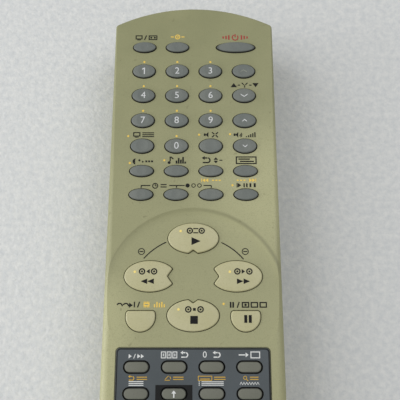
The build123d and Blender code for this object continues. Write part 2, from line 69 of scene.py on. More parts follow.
Point = tuple[float, float]
Place = tuple[float, float, float]
Colour = tuple[float, float, float]
Socket = bpy.types.NodeSocket
Material = bpy.types.Material


def linear(red: int, green: int, blue: int) -> Colour:
    """Turn a display colour into the linear values that a shader takes.

    Args:
        red: Red from 0 to 255.
        green: Green from 0 to 255.
        blue: Blue from 0 to 255.

    Returns:
        The three linear values.
    """
    shares = (channel / 255 for channel in (red, green, blue))
    return tuple(s / 12.92 if s <= 0.04045 else ((s + 0.055) / 1.055) ** 2.4 for s in shares)


class Axis(Enum):
    """An axis of the handset's frame, with the name of its socket."""

    X = "X"
    Y = "Y"
    Z = "Z"


class Surface:
    """A material under construction: its node tree, its shader and its coordinates."""

    def __init__(self, name: str) -> None:
        """Start a material with a Principled shader and Object coordinates.

        Args:
            name: The material's name.
        """
        self.material = bpy.data.materials.new(name)
        self.material.use_nodes = True
        self.tree = self.material.node_tree
        self.shader = self.tree.nodes["Principled BSDF"]
        self.place = self.tree.nodes.new("ShaderNodeTexCoord").outputs["Object"]

    def link(self, source: Socket, target: Socket) -> None:
        """Join an output to an input."""
        self.tree.links.new(source, target)

    def set(self, name: str, value: float) -> None:
        """Set one of the shader's sockets."""
        self.shader.inputs[name].default_value = value

    def noise(self, size: float, detail: float, rough: float = OCTAVE_SHARE) -> Socket:
        """Noise whose blotches are about a given size.

        Args:
            size: Size of a blotch in millimetres.
            detail: Octaves of finer noise.
            rough: Share of each finer octave.

        Returns:
            The noise value's socket.
        """
        node = self.tree.nodes.new("ShaderNodeTexNoise")
        node.inputs["Scale"].default_value = 1 / (size * MM)
        node.inputs["Detail"].default_value = detail
        node.inputs["Roughness"].default_value = rough
        self.link(self.place, node.inputs["Vector"])
        return node.outputs["Fac"]

    def ramp(
        self, value: Socket, low: float, high: float, start: float = 0.0, end: float = 1.0
    ) -> Socket:
        """Map a stretch of a value onto another range, clamped.

        Args:
            value: The socket to read.
            low: Where the stretch starts.
            high: Where it ends.
            start: The result at the start.
            end: The result at the end.

        Returns:
            The mapped value's socket.
        """
        node = self.tree.nodes.new("ShaderNodeMapRange")
        names = ("From Min", "From Max", "To Min", "To Max")
        for name, number in zip(names, (low, high, start, end)):
            node.inputs[name].default_value = number
        self.link(value, node.inputs["Value"])
        return node.outputs["Result"]

    def maths(self, operation: str, *values: Socket | float) -> Socket:
        """Combine sockets or numbers with one operation.

        Args:
            operation: The name of the operation.
            values: Sockets or numbers, in order.

        Returns:
            The result's socket.
        """
        node = self.tree.nodes.new("ShaderNodeMath")
        node.operation = operation
        for slot, value in zip(node.inputs, values):
            if isinstance(value, (int, float)):
                slot.default_value = value
            else:
                self.link(value, slot)
        return node.outputs["Value"]

    def blend(self, share: Socket, first: Socket | Colour, second: Socket | Colour) -> Socket:
        """Mix two colours by a share.

        Args:
            share: Zero for the first colour and one for the second.
            first: A socket or a colour.
            second: A socket or a colour.

        Returns:
            The mixed colour's socket.
        """
        node = self.tree.nodes.new("ShaderNodeMix")
        node.data_type = "RGBA"
        colours = [slot for slot in node.inputs if slot.type == "RGBA"]
        for slot, colour in zip(colours, (first, second)):
            if isinstance(colour, tuple):
                slot.default_value = (*colour, 1)
            else:
                self.link(colour, slot)
        self.link(share, node.inputs["Factor"])
        return next(slot for slot in node.outputs if slot.type == "RGBA")

    def axis(self, axis: Axis) -> Socket:
        """One coordinate of the place, in metres.

        Args:
            axis: The axis that it is measured along.

        Returns:
            The coordinate's socket.
        """
        node = self.tree.nodes.new("ShaderNodeSeparateXYZ")
        self.link(self.place, node.inputs["Vector"])
        return node.outputs[axis.value]

    def away(self, axis: Axis, spot: float) -> Socket:
        """Distance in metres along an axis, from a place in millimetres."""
        return self.maths("ABSOLUTE", self.maths("SUBTRACT", self.axis(axis), spot * MM))

    def reach(self, x: float, y: float) -> Socket:
        """Distance in metres from an upright line, at a place in millimetres."""
        sides = (self.away(Axis.X, x), self.away(Axis.Y, y))
        return self.maths("SQRT", self.maths("ADD", *(self.maths("POWER", s, 2.0) for s in sides)))

    def paint(self, colour: Socket) -> None:
        """Give the shader its colour."""
        self.link(colour, self.shader.inputs["Base Color"])

    def gloss(self, rough: Socket) -> None:
        """Give the shader its roughness."""
        self.link(rough, self.shader.inputs["Roughness"])

    def emboss(self, height: Socket, depth: float) -> None:
        """Raise the surface by a height.

        Args:
            height: The height's socket, from zero to one.
            depth: What a height of one stands for, in millimetres.
        """
        node = self.tree.nodes.new("ShaderNodeBump")
        node.inputs["Distance"].default_value = depth * MM
        node.inputs["Strength"].default_value = 1.0
        self.link(height, node.inputs["Height"])
        self.link(node.outputs["Normal"], self.shader.inputs["Normal"])


@dataclass(frozen=True)
class Mottle:
    """Noise mapped onto a range of values: blotches of about one size, in millimetres."""

    size: float
    detail: float
    low: float
    high: float
    start: float = 0.0
    end: float = 1.0
    rough: float = OCTAVE_SHARE

    def on(self, surface: Surface, about: float = 0.0) -> Socket:
        """The pattern's value over a surface, about a mean."""
        noise = surface.noise(self.size, self.detail, self.rough)
        return surface.ramp(noise, self.low, self.high, about + self.start, about + self.end)


@dataclass(frozen=True)
class Fade:
    """A value that changes evenly along one axis between two places, in millimetres."""

    axis: Axis
    low: float
    high: float
    start: float = 0.0
    end: float = 1.0

    def on(self, surface: Surface) -> Socket:
        """The fade's value over a surface."""
        place = surface.axis(self.axis)
        return surface.ramp(place, self.low * MM, self.high * MM, self.start, self.end)


@dataclass(frozen=True)
class MouldedFinish:
    """Moulded plastic or rubber: two close tones and a fine grain, with worn and dirty places and
    painted light and shade.

    Places and sizes are in millimetres. Specks, a paler tone towards the tail, painted highlights
    in round spots, painted shade along a lip, dirt along a seam and painted shade with some grime
    at a foot are layers that only some pieces have.
    """

    name: str
    colour: Colour
    worn: Colour
    roughness: float
    tone: Mottle = Mottle(14.0, 5.0, 0.35, 0.7)
    polish: Mottle = Mottle(6.0, 4.0, 0.3, 0.75, -0.06, 0.08)
    grain: float = 0.28
    grain_depth: float = 0.012
    grain_shade: float = 0.86
    sheen: float = 0.0
    speck: Colour | None = None
    specks: Mottle = Mottle(1.6, 1.0, 0.74, 0.8, end=0.55, rough=0.3)
    # A paler colour that is blended in more and more towards the tail.
    tail_tone: Colour | None = None
    tail_fade: Fade = Fade(Axis.Y, 95.0, -45.0, end=0.9)
    # Painted highlights: the pale colour is laid in round spots on the case's top, as a painted
    # reflection of light.
    pale: Colour = linear(172, 171, 130)
    highlight_spots: tuple[tuple[float, float, float], ...] = ()
    highlight_core: float = 0.3
    highlight_share: float = 0.85
    highlight_fade: Fade = Fade(Axis.Z, 14.0, 23.0)
    # A dark colour for the dirt along the seam, and for the painted shade along the lip and at the
    # keys' foot.
    grime_and_shade: Colour = linear(15, 15, 13)
    # Painted shade along the lip of the scoop, strongest on the right.
    lip_radius: float = 0.0
    lip_y: float = 0.0
    lip_core: float = 0.2
    lip_half: float = 0.9
    lip_fades: tuple[Fade, ...] = (
        Fade(Axis.X, -4.0, 14.0, 0.05, 0.3),
        Fade(Axis.Y, -2.0, 6.0),
        Fade(Axis.Z, 23.0, 23.5),
    )
    seam_level: float = 0.0
    seam_half: float = 0.14
    seam_share: float = 0.8
    # Painted shade, with some grime, low on the keys' sides where they stand in their openings.
    foot: Fade | None = None

    def material(self) -> Material:
        """Make the material.

        Returns:
            The finished material.
        """
        surface = Surface(self.name)
        colour = surface.blend(self.tone.on(surface), self.colour, self.worn)
        # Paler towards the tail.
        if self.tail_tone:
            colour = surface.blend(self.tail_fade.on(surface), colour, self.tail_tone)
        # Painted highlights: pale round spots on the top.
        for x, y, radius in self.highlight_spots:
            core, edge = self.highlight_core * radius * MM, radius * MM
            spot_highlight = surface.ramp(surface.reach(x, y), core, edge, self.highlight_share, 0.0)
            share = surface.maths("MULTIPLY", spot_highlight, self.highlight_fade.on(surface))
            colour = surface.blend(share, colour, self.pale)
        # Painted shade along the scoop's lip.
        if self.lip_radius:
            colour = surface.blend(self.lip(surface), colour, self.grime_and_shade)
        fine = surface.noise(self.grain, detail=2.0)
        shade = tuple(self.grain_shade * value for value in self.colour)
        colour = surface.blend(surface.ramp(fine, low=0.52, high=0.7, end=0.5), colour, shade)
        if self.speck:
            colour = surface.blend(self.specks.on(surface), colour, self.speck)
        if self.seam_level:
            away, half = surface.away(Axis.Z, self.seam_level), self.seam_half * MM
            dirt = surface.ramp(away, half, 2 * half, self.seam_share, 0.0)
            colour = surface.blend(dirt, colour, self.grime_and_shade)
        # Painted shade, with some grime, at the foot.
        if self.foot:
            colour = surface.blend(self.foot.on(surface), colour, self.grime_and_shade)
        surface.paint(colour)
        surface.gloss(self.polish.on(surface, self.roughness))
        surface.set("Sheen Weight", self.sheen)
        surface.emboss(fine, self.grain_depth)
        return surface.material

    def lip(self, surface: Surface) -> Socket:
        """Painted shade along the lip of the scoop, most of it on the right.

        Args:
            surface: The material under construction.

        Returns:
            The socket of the painted shade's share.
        """
        around = surface.maths("SUBTRACT", surface.reach(0, self.lip_y), self.lip_radius * MM)
        away = surface.maths("ABSOLUTE", around)
        share = surface.ramp(away, self.lip_core * MM, self.lip_half * MM, 1.0, 0.0)
        for fade in self.lip_fades:
            share = surface.maths("MULTIPLY", share, fade.on(surface))
        return share


@dataclass(frozen=True)
class TwoToneFinish:
    """Two close tones in blotches and an uneven polish, with one more value of the shader."""

    name: str
    colour: Colour
    second: Colour
    roughness: float
    tone: Mottle
    polish: Mottle
    extra: tuple[str, float]

    def material(self) -> Material:
        """Make the material.

        Returns:
            The finished material.
        """
        surface = Surface(self.name)
        surface.paint(surface.blend(self.tone.on(surface), self.colour, self.second))
        surface.gloss(self.polish.on(surface, self.roughness))
        surface.set(*self.extra)
        return surface.material


@dataclass(frozen=True)
class InkFinish(TwoToneFinish):
    """Screen-printed ink, a little uneven where fingers have worn it."""

    roughness: float = 0.5
    tone: Mottle = Mottle(0.5, 4.0, 0.5, 0.8, end=0.6)
    polish: Mottle = Mottle(0.3, 3.0, 0.3, 0.7, -0.1, 0.1)
    extra: tuple[str, float] = ("Specular IOR Level", 0.25)


@dataclass(frozen=True)
class WindowFinish(TwoToneFinish):
    """Dark plastic that only infrared light passes, moulded with a polish."""

    roughness: float = 0.08
    tone: Mottle = Mottle(5.0, 3.0, 0.3, 0.7)
    polish: Mottle = Mottle(2.0, 5.0, 0.4, 0.8, 0.0, 0.12)
    extra: tuple[str, float] = ("Coat Weight", 0.6)


@dataclass(frozen=True)
class MetalFinish(TwoToneFinish):
    """Plated metal with an uneven polish and a little tarnish."""

    roughness: float = 0.25
    tone: Mottle = Mottle(3.0, 5.0, 0.45, 0.8)
    polish: Mottle = Mottle(0.4, 3.0, 0.3, 0.7, -0.08, 0.12)
    extra: tuple[str, float] = ("Metallic", 1.0)


@dataclass(frozen=True)
class LaminateFinish:
    """A paper laminate board with printed tracks under a lacquer."""

    name: str
    colour: Colour
    fibre: Colour
    track: Colour
    fibres: Mottle = Mottle(1.2, 6.0, 0.35, 0.65)
    polish: Mottle = Mottle(0.8, 3.0, 0.3, 0.7, 0.3, 0.5)
    pitch: float = 2.2
    bend: float = 9.0
    bend_reach: float = 0.9
    track_edges: Point = (0.9, 0.98)

    def material(self) -> Material:
        """Make the material.

        Returns:
            The finished material.
        """
        surface = Surface(self.name)
        base = surface.blend(self.fibres.on(surface), self.colour, self.fibre)
        rows = surface.maths("PINGPONG", surface.axis(Axis.X), self.pitch * MM / 2)
        bends = surface.maths("MULTIPLY", surface.noise(self.bend, 0.0), self.bend_reach * MM)
        low, high = self.track_edges
        lines = surface.ramp(surface.maths("ADD", rows, bends), low * MM, high * MM)
        surface.paint(surface.blend(lines, base, self.track))
        surface.gloss(self.polish.on(surface))
        return surface.material


@dataclass(frozen=True)
class SleeveFinish:
    """A cell's printed sleeve: a dark wrap with one pale band, and bare steel past its ends."""

    name: str
    wrap: Colour
    band: Colour
    steel: Colour
    middle: float
    wrap_half: float
    band_half: float
    edge: float = 0.05
    wrap_metal: float = 0.35
    wear: Mottle = Mottle(2.5, 5.0, 0.4, 0.8, end=0.25)
    polish: Mottle = Mottle(1.5, 4.0, 0.3, 0.7, 0.25, 0.4)

    def material(self) -> Material:
        """Make the material.

        Returns:
            The finished material.
        """
        surface = Surface(self.name)
        away = surface.away(Axis.Y, self.middle)
        banded, bare = (
            surface.ramp(away, half * MM, (half + self.edge) * MM)
            for half in (self.band_half, self.wrap_half)
        )
        sleeve = surface.blend(banded, self.band, self.wrap)
        printed = surface.blend(self.wear.on(surface), sleeve, self.steel)
        surface.paint(surface.blend(bare, printed, self.steel))
        metal = surface.ramp(bare, 0.0, 1.0, self.wrap_metal, 1.0)
        surface.link(metal, surface.shader.inputs["Metallic"])
        surface.gloss(self.polish.on(surface))
        return surface.material


@dataclass(frozen=True)
class FloorFinish:
    """A pale, matt floor with a coarse mottle and a low relief."""

    name: str
    colour: Colour
    second: Colour
    roughness: float = 0.9
    tone: Mottle = Mottle(2.2, 5.0, 0.35, 0.65, rough=0.65)
    relief: float = 1.5
    relief_depth: float = 0.25

    def material(self) -> Material:
        """Make the material.

        Returns:
            The finished material.
        """
        surface = Surface(self.name)
        surface.paint(surface.blend(self.tone.on(surface), self.colour, self.second))
        surface.set("Roughness", self.roughness)
        surface.emboss(surface.noise(self.relief, detail=4.0), self.relief_depth)
        return surface.material


def middle(node: str) -> Point:
    """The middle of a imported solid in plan, in millimetres."""
    low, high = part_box(node)
    return (low[0] + high[0]) / 2 / MM, (low[1] + high[1]) / 2 / MM


# What the two key rubbers have in common.
RUBBER: dict[str, float] = {"roughness": 0.55, "grain": 0.35, "sheen": 0.1}


class Finish(Enum):
    """The handset's finishes."""

    CASE = MouldedFinish(
        "khaki_case",
        linear(134, 135, 98),
        linear(143, 143, 105),
        0.48,
        speck=linear(120, 118, 84),
        # Paler towards the tail.
        tail_tone=linear(159, 158, 120),
        # Painted highlights in four round spots, one on the right and three on the left.
        highlight_spots=((28.0, 30.0, 32.0), *((-31.0, y, 15.0) for y in (-11.0, -23.0, -36.0))),
        # Painted shade along the scoop's lip.
        lip_radius=30.0,
        lip_y=-7.3,
        seam_level=11.0,
    )
    KEY_RUBBER = MouldedFinish(
        "grey_key_rubber",
        linear(99, 105, 101),
        linear(110, 114, 108),
        # Painted shade, with some grime, at the foot of each key.
        foot=Fade(Axis.Z, 24.84, 25.09, 1.0, 0.0),
        **RUBBER,
    )
    PANEL_KEY = MouldedFinish(
        "warm_key_rubber",
        linear(99, 101, 89),
        linear(107, 108, 97),
        # Painted shade, with some grime, at the foot of each key.
        foot=Fade(Axis.Z, 24.66, 24.91, 1.0, 0.0),
        **RUBBER,
    )
    CREAM_KEY = MouldedFinish(
        "cream_key",
        linear(177, 173, 132),
        linear(184, 180, 144),
        0.38,
        grain=0.4,
        grain_depth=0.006,
    )
    PANEL = MouldedFinish(
        "slate_panel", linear(66, 73, 76), linear(73, 80, 84), 0.45, grain_depth=0.008
    )
    MAT = MouldedFinish("mat_rubber", linear(24, 24, 23), linear(32, 32, 30), 0.7)
    COMPONENT = MouldedFinish(
        "epoxy_package",
        linear(22, 22, 23),
        linear(33, 33, 34),
        0.45,
        tone=Mottle(3.0, 5.0, 0.35, 0.7),
    )
    EMITTER = WindowFinish("emitter_lens", linear(70, 72, 96), linear(52, 50, 78))
    WINDOW = WindowFinish("infrared_window", linear(46, 16, 18), linear(28, 8, 10))
    BOARD = LaminateFinish(
        "paper_laminate", linear(150, 112, 62), linear(128, 94, 50), linear(96, 84, 40)
    )
    CONTACT = MetalFinish("plated_spring_steel", linear(205, 203, 197), linear(160, 152, 138))
    CELL = SleeveFinish(
        "cell_sleeve",
        linear(38, 44, 52),
        linear(168, 172, 170),
        linear(196, 196, 192),
        middle=middle("battery_cells")[1],
        wrap_half=24.0,
        band_half=5.0,
    )
    INK_BLACK = InkFinish("black_ink", linear(17, 18, 15), linear(36, 36, 30), 0.65)
    INK_KEY_BLACK = InkFinish("black_key_ink", linear(13, 13, 12), linear(28, 28, 24), 0.65)
    INK_YELLOW = InkFinish("yellow_ink", linear(230, 196, 92), linear(222, 196, 122))
    INK_PALE = InkFinish("pale_yellow_ink", linear(236, 214, 128), linear(228, 208, 140))
    INK_PANEL_YELLOW = InkFinish("ochre_ink", linear(196, 158, 62), linear(170, 142, 70))
    INK_RED = InkFinish("red_ink", linear(158, 62, 56), linear(166, 86, 74))
    INK_WHITE = InkFinish("white_ink", linear(214, 216, 214), linear(188, 190, 186))
    INK_DIGIT = InkFinish("digit_ink", linear(206, 208, 208), linear(176, 180, 180))
    INK_FAINT = InkFinish("worn_ink", linear(134, 138, 128), linear(122, 126, 118))
    INK_BLOCK = InkFinish("block_ink", linear(16, 17, 17), linear(22, 23, 23), 0.6)


MATERIALS = {finish: finish.value.material() for finish in Finish}


def dress(node: str, finish: Finish) -> None:
    """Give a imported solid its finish.

    Args:
        node: The solid's name.
        finish: The finish that it takes.
    """
    mesh = frame["nodes"][node].data
    mesh.materials.clear()
    mesh.materials.append(MATERIALS[finish])
    LOG.info("dressed %s in %s", node, finish.value.name)


def activate(piece: bpy.types.Object) -> None:
    """Select one object alone, and make it the active one.

    Args:
        piece: The object.
    """
    bpy.ops.object.select_all(action="DESELECT")
    piece.select_set(True)
    bpy.context.view_layer.objects.active = piece


def complete(
    piece: bpy.types.Object, depth: float, offset: float, finish: Finish, body: str
) -> None:
    """Turn the active sheet into a finished piece.

    Args:
        piece: The sheet.
        depth: The thickness that it gets, in millimetres.
        offset: The side that the thickness goes to, from -1 below the sheet to 1 above it.
        finish: Its finish.
        body: The body that it moves with.
    """
    wall = piece.modifiers.new("wall", "SOLIDIFY")
    wall.thickness = depth * MM
    wall.offset = offset
    bpy.ops.object.modifier_apply(modifier=wall.name)
    piece.data.materials.clear()
    piece.data.materials.append(MATERIALS[finish])
    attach(piece, body)
    LOG.info("modelled %s, %d faces", piece.name, len(piece.data.polygons))


class Side(Enum):
    """The side of a solid that a print is laid on."""

    TOP = 1
    UNDERSIDE = -1


class Stencil:
    """Flat marks drawn in plan on one mesh, then laid onto a surface as a thin raised print.

    Lengths are in the drawing's own unit, which `at` sets. Marks never overlap one another, so
    that the print stays one clean layer. HEIGHT to WELD are in millimetres and ARC_STEP is in
    degrees; CATCH is a share of a stroke's width, and MOON_FOLD the share that a moon's right
    half keeps, on the other side.
    """

    HEIGHT = 0.045
    SINK = 0.02
    DISTANCE = 40.0
    HAIR = 0.01
    WELD = 0.002
    ARC_STEP = 9.0
    ARC_STEPS = 6
    CATCH = 0.6
    DOT_SIDES = 20
    RING_SIDES = 24
    MOON_SIDES = 28
    MOON_FOLD = -0.2

    def __init__(self, name: str) -> None:
        """Start an empty drawing.

        Args:
            name: The name of the piece.
        """
        bpy.ops.object.select_all(action="DESELECT")
        bpy.ops.mesh.primitive_plane_add(size=MM)
        self.piece = bpy.context.object
        self.piece.name = self.piece.data.name = name
        bpy.ops.object.mode_set(mode="EDIT")
        bpy.ops.mesh.delete(type="VERT")
        self.origin: Point = (0.0, 0.0)
        self.unit = MM

    def at(self, x: float, y: float, unit: float = 1.0) -> None:
        """Move the drawing's origin and set its unit, for the marks that follow.

        Args:
            x: The origin across, in millimetres.
            y: The origin up, in millimetres.
            unit: One unit of the drawing, in millimetres.
        """
        self.origin = (x, y)
        self.unit = unit * MM

    def spot(self, x: float, y: float) -> Vector:
        """A place on the drawing, from its origin."""
        across, up = self.origin
        return Vector((across * MM + x * self.unit, up * MM + y * self.unit, 0))

    def pick(self, test: Callable[[Vector], bool]) -> None:
        """Keep selected only the selected points that pass a test.

        Args:
            test: Says of a point's place whether it stays selected.
        """
        bpy.ops.mesh.select_mode(type="VERT")
        drawing = bmesh.from_edit_mesh(self.piece.data)
        for point in drawing.verts:
            point.select_set(point.select and test(point.co))
        drawing.select_flush_mode()
        bmesh.update_edit_mesh(self.piece.data)

    def rotate(self, x: float, y: float, turn: float) -> None:
        """Turn what is selected about a place, anticlockwise in degrees."""
        # With no window the operator turns the other way.
        angle = -radians(turn)
        bpy.ops.transform.rotate(value=angle, orient_axis="Z", center_override=self.spot(x, y))

    def bar(self, x: float, y: float, width: float, height: float, turn: float = 0.0) -> None:
        """A filled rectangle about its middle.

        Args:
            x: Its middle across.
            y: Its middle up.
            width: Its size across.
            height: Its size up.
            turn: How far it is turned, in degrees.
        """
        bpy.ops.mesh.primitive_plane_add(size=self.unit, location=self.spot(x, y))
        bpy.ops.transform.resize(value=(width, height, 1), center_override=self.spot(x, y))
        if turn:
            self.rotate(x, y, turn)

    def line(self, start: Point, end: Point, width: float) -> None:
        """A straight stroke between two places.

        Args:
            start: Where it starts.
            end: Where it ends.
            width: Its width.
        """
        run = (end[0] - start[0], end[1] - start[1])
        centre = ((start[0] + end[0]) / 2, (start[1] + end[1]) / 2)
        self.bar(*centre, hypot(*run), width, degrees(atan2(run[1], run[0])))

    def dot(self, x: float, y: float, radius: float, sides: int = DOT_SIDES) -> None:
        """A filled disc.

        Args:
            x: Its middle across.
            y: Its middle up.
            radius: Its radius.
            sides: How many sides it is drawn with.
        """
        bpy.ops.mesh.primitive_circle_add(
            vertices=sides, radius=radius * self.unit, fill_type="NGON", location=self.spot(x, y)
        )

    def triangle(self, x: float, y: float, width: float, height: float, turn: float = 0.0) -> None:
        """A filled triangle that points to the right before it is turned.

        Args:
            x: Its middle across.
            y: Its middle up.
            width: Its size along the way it points.
            height: Its size across that.
            turn: How far it is turned, in degrees.
        """
        self.bar(x, y, width, height)
        axis = self.spot(x, y).x
        self.pick(lambda place: place.x > axis)
        bpy.ops.mesh.merge(type="CENTER")
        bpy.ops.mesh.select_linked()
        if turn:
            self.rotate(x, y, turn)

    def hollow(self, width: float) -> None:
        """Leave only a rim of what is selected, of a given width."""
        bpy.ops.mesh.inset(thickness=width * self.unit)
        bpy.ops.mesh.delete(type="FACE")

    def ring(self, x: float, y: float, radius: float, width: float) -> None:
        """A circle drawn as a stroke, inside its radius."""
        self.dot(x, y, radius, self.RING_SIDES)
        self.hollow(width)

    def box(self, x: float, y: float, width: float, height: float, stroke: float) -> None:
        """A rectangle drawn as a stroke, inside its size."""
        self.bar(x, y, width, height)
        self.hollow(stroke)

    def arc(
        self, x: float, y: float, radius: float, width: float, start: float, end: float
    ) -> None:
        """A stroke along a circle, anticlockwise from one angle to another in degrees.

        Args:
            x: The circle's middle across.
            y: The circle's middle up.
            radius: Its radius at the middle of the stroke.
            width: The stroke's width.
            start: The angle where it starts, from the right.
            end: The angle where it ends.
        """
        self.bar(x + radius, y, width, width)
        foot = self.spot(x, y).y
        self.pick(lambda place: place.y > foot)
        bpy.ops.mesh.delete(type="VERT")
        bpy.ops.mesh.select_all(action="SELECT")
        reach = self.spot(x + radius, y - width / 2)
        self.pick(lambda place: (place - reach).length < self.CATCH * width * self.unit)
        self.rotate(x, y, start)
        bpy.ops.mesh.spin(
            steps=max(self.ARC_STEPS, round((end - start) / self.ARC_STEP)),
            angle=-radians(end - start),
            center=self.spot(x, y),
            axis=(0, 0, 1),
        )

    def chevron(self, x: float, y: float, width: float, rise: float, stroke: float) -> None:
        """An open arrow head that points up, or down with a negative rise.

        Args:
            x: Its middle across.
            y: Its middle up.
            width: Its size across.
            rise: How far its tip stands above its ends.
            stroke: Its stroke, measured up.
        """
        self.bar(x, y - rise / 2, width, stroke)
        bpy.ops.mesh.subdivide(number_cuts=1)
        axis = self.spot(x, y).x
        self.pick(lambda place: abs(place.x - axis) < self.HAIR * MM)
        bpy.ops.transform.translate(value=(0, rise * self.unit, 0))

    def crescent(self, x: float, y: float, radius: float) -> None:
        """A moon: a disc whose right half is folded inwards.

        Args:
            x: Its middle across.
            y: Its middle up.
            radius: Its radius.
        """
        self.dot(x, y, radius, self.MOON_SIDES)
        axis = self.spot(x, y)
        self.pick(lambda place: place.x > axis.x + self.HAIR * MM)
        bpy.ops.transform.resize(value=(self.MOON_FOLD, 1, 1), center_override=axis)

    def digit(self, numeral: str, x: float, y: float, size: float) -> None:
        """A numeral in the plain built-in face, centred on a place.

        Args:
            numeral: The numeral.
            x: Its middle across.
            y: Its middle up.
            size: The size of the face.
        """
        bpy.ops.object.mode_set(mode="OBJECT")
        bpy.ops.object.select_all(action="DESELECT")
        bpy.ops.object.text_add()
        letter = bpy.context.object
        letter.data.body = numeral
        letter.data.size = size * self.unit
        letter.data.align_x = "CENTER"
        letter.data.align_y = "CENTER"
        letter.data.resolution_u = 4
        bpy.ops.object.convert(target="MESH")
        bpy.context.object.location = self.spot(x, y)
        bpy.ops.object.transform_apply(location=True, rotation=True, scale=True)
        self.piece.select_set(True)
        bpy.context.view_layer.objects.active = self.piece
        bpy.ops.object.join()
        bpy.ops.object.mode_set(mode="EDIT")
        bpy.ops.mesh.select_all(action="DESELECT")

    def lay(
        self,
        node: str,
        finish: Finish,
        slot: str,
        body: str,
        cuts: int = 1,
        side: Side = Side.TOP,
        height: float = HEIGHT,
    ) -> None:
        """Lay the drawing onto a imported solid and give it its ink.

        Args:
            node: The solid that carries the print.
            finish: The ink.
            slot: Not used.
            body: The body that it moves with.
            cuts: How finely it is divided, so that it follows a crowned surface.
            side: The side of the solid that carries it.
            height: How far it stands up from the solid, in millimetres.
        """
        piece = self.piece
        bpy.ops.mesh.select_all(action="SELECT")
        bpy.ops.mesh.remove_doubles(threshold=self.WELD * MM)
        bpy.ops.mesh.quads_convert_to_tris()
        if cuts:
            bpy.ops.mesh.subdivide(number_cuts=cuts)
        bpy.ops.transform.translate(value=(0, 0, side.value * self.DISTANCE * MM))
        drawing = bmesh.from_edit_mesh(piece.data)
        for face in drawing.faces:
            face.normal_update()
            face.select_set(face.normal.z * side.value < 0)
        bmesh.update_edit_mesh(piece.data)
        bpy.ops.mesh.flip_normals()
        bpy.ops.object.mode_set(mode="OBJECT")
        activate(piece)
        wrap = piece.modifiers.new("wrap", "SHRINKWRAP")
        wrap.wrap_method = "PROJECT"
        wrap.use_project_z = True
        wrap.use_negative_direction = side is Side.TOP
        wrap.use_positive_direction = side is Side.UNDERSIDE
        wrap.target = frame["nodes"][node]
        wrap.offset = height * MM
        bpy.ops.object.modifier_apply(modifier=wrap.name)
        complete(piece, height + self.SINK, -1, finish, body)


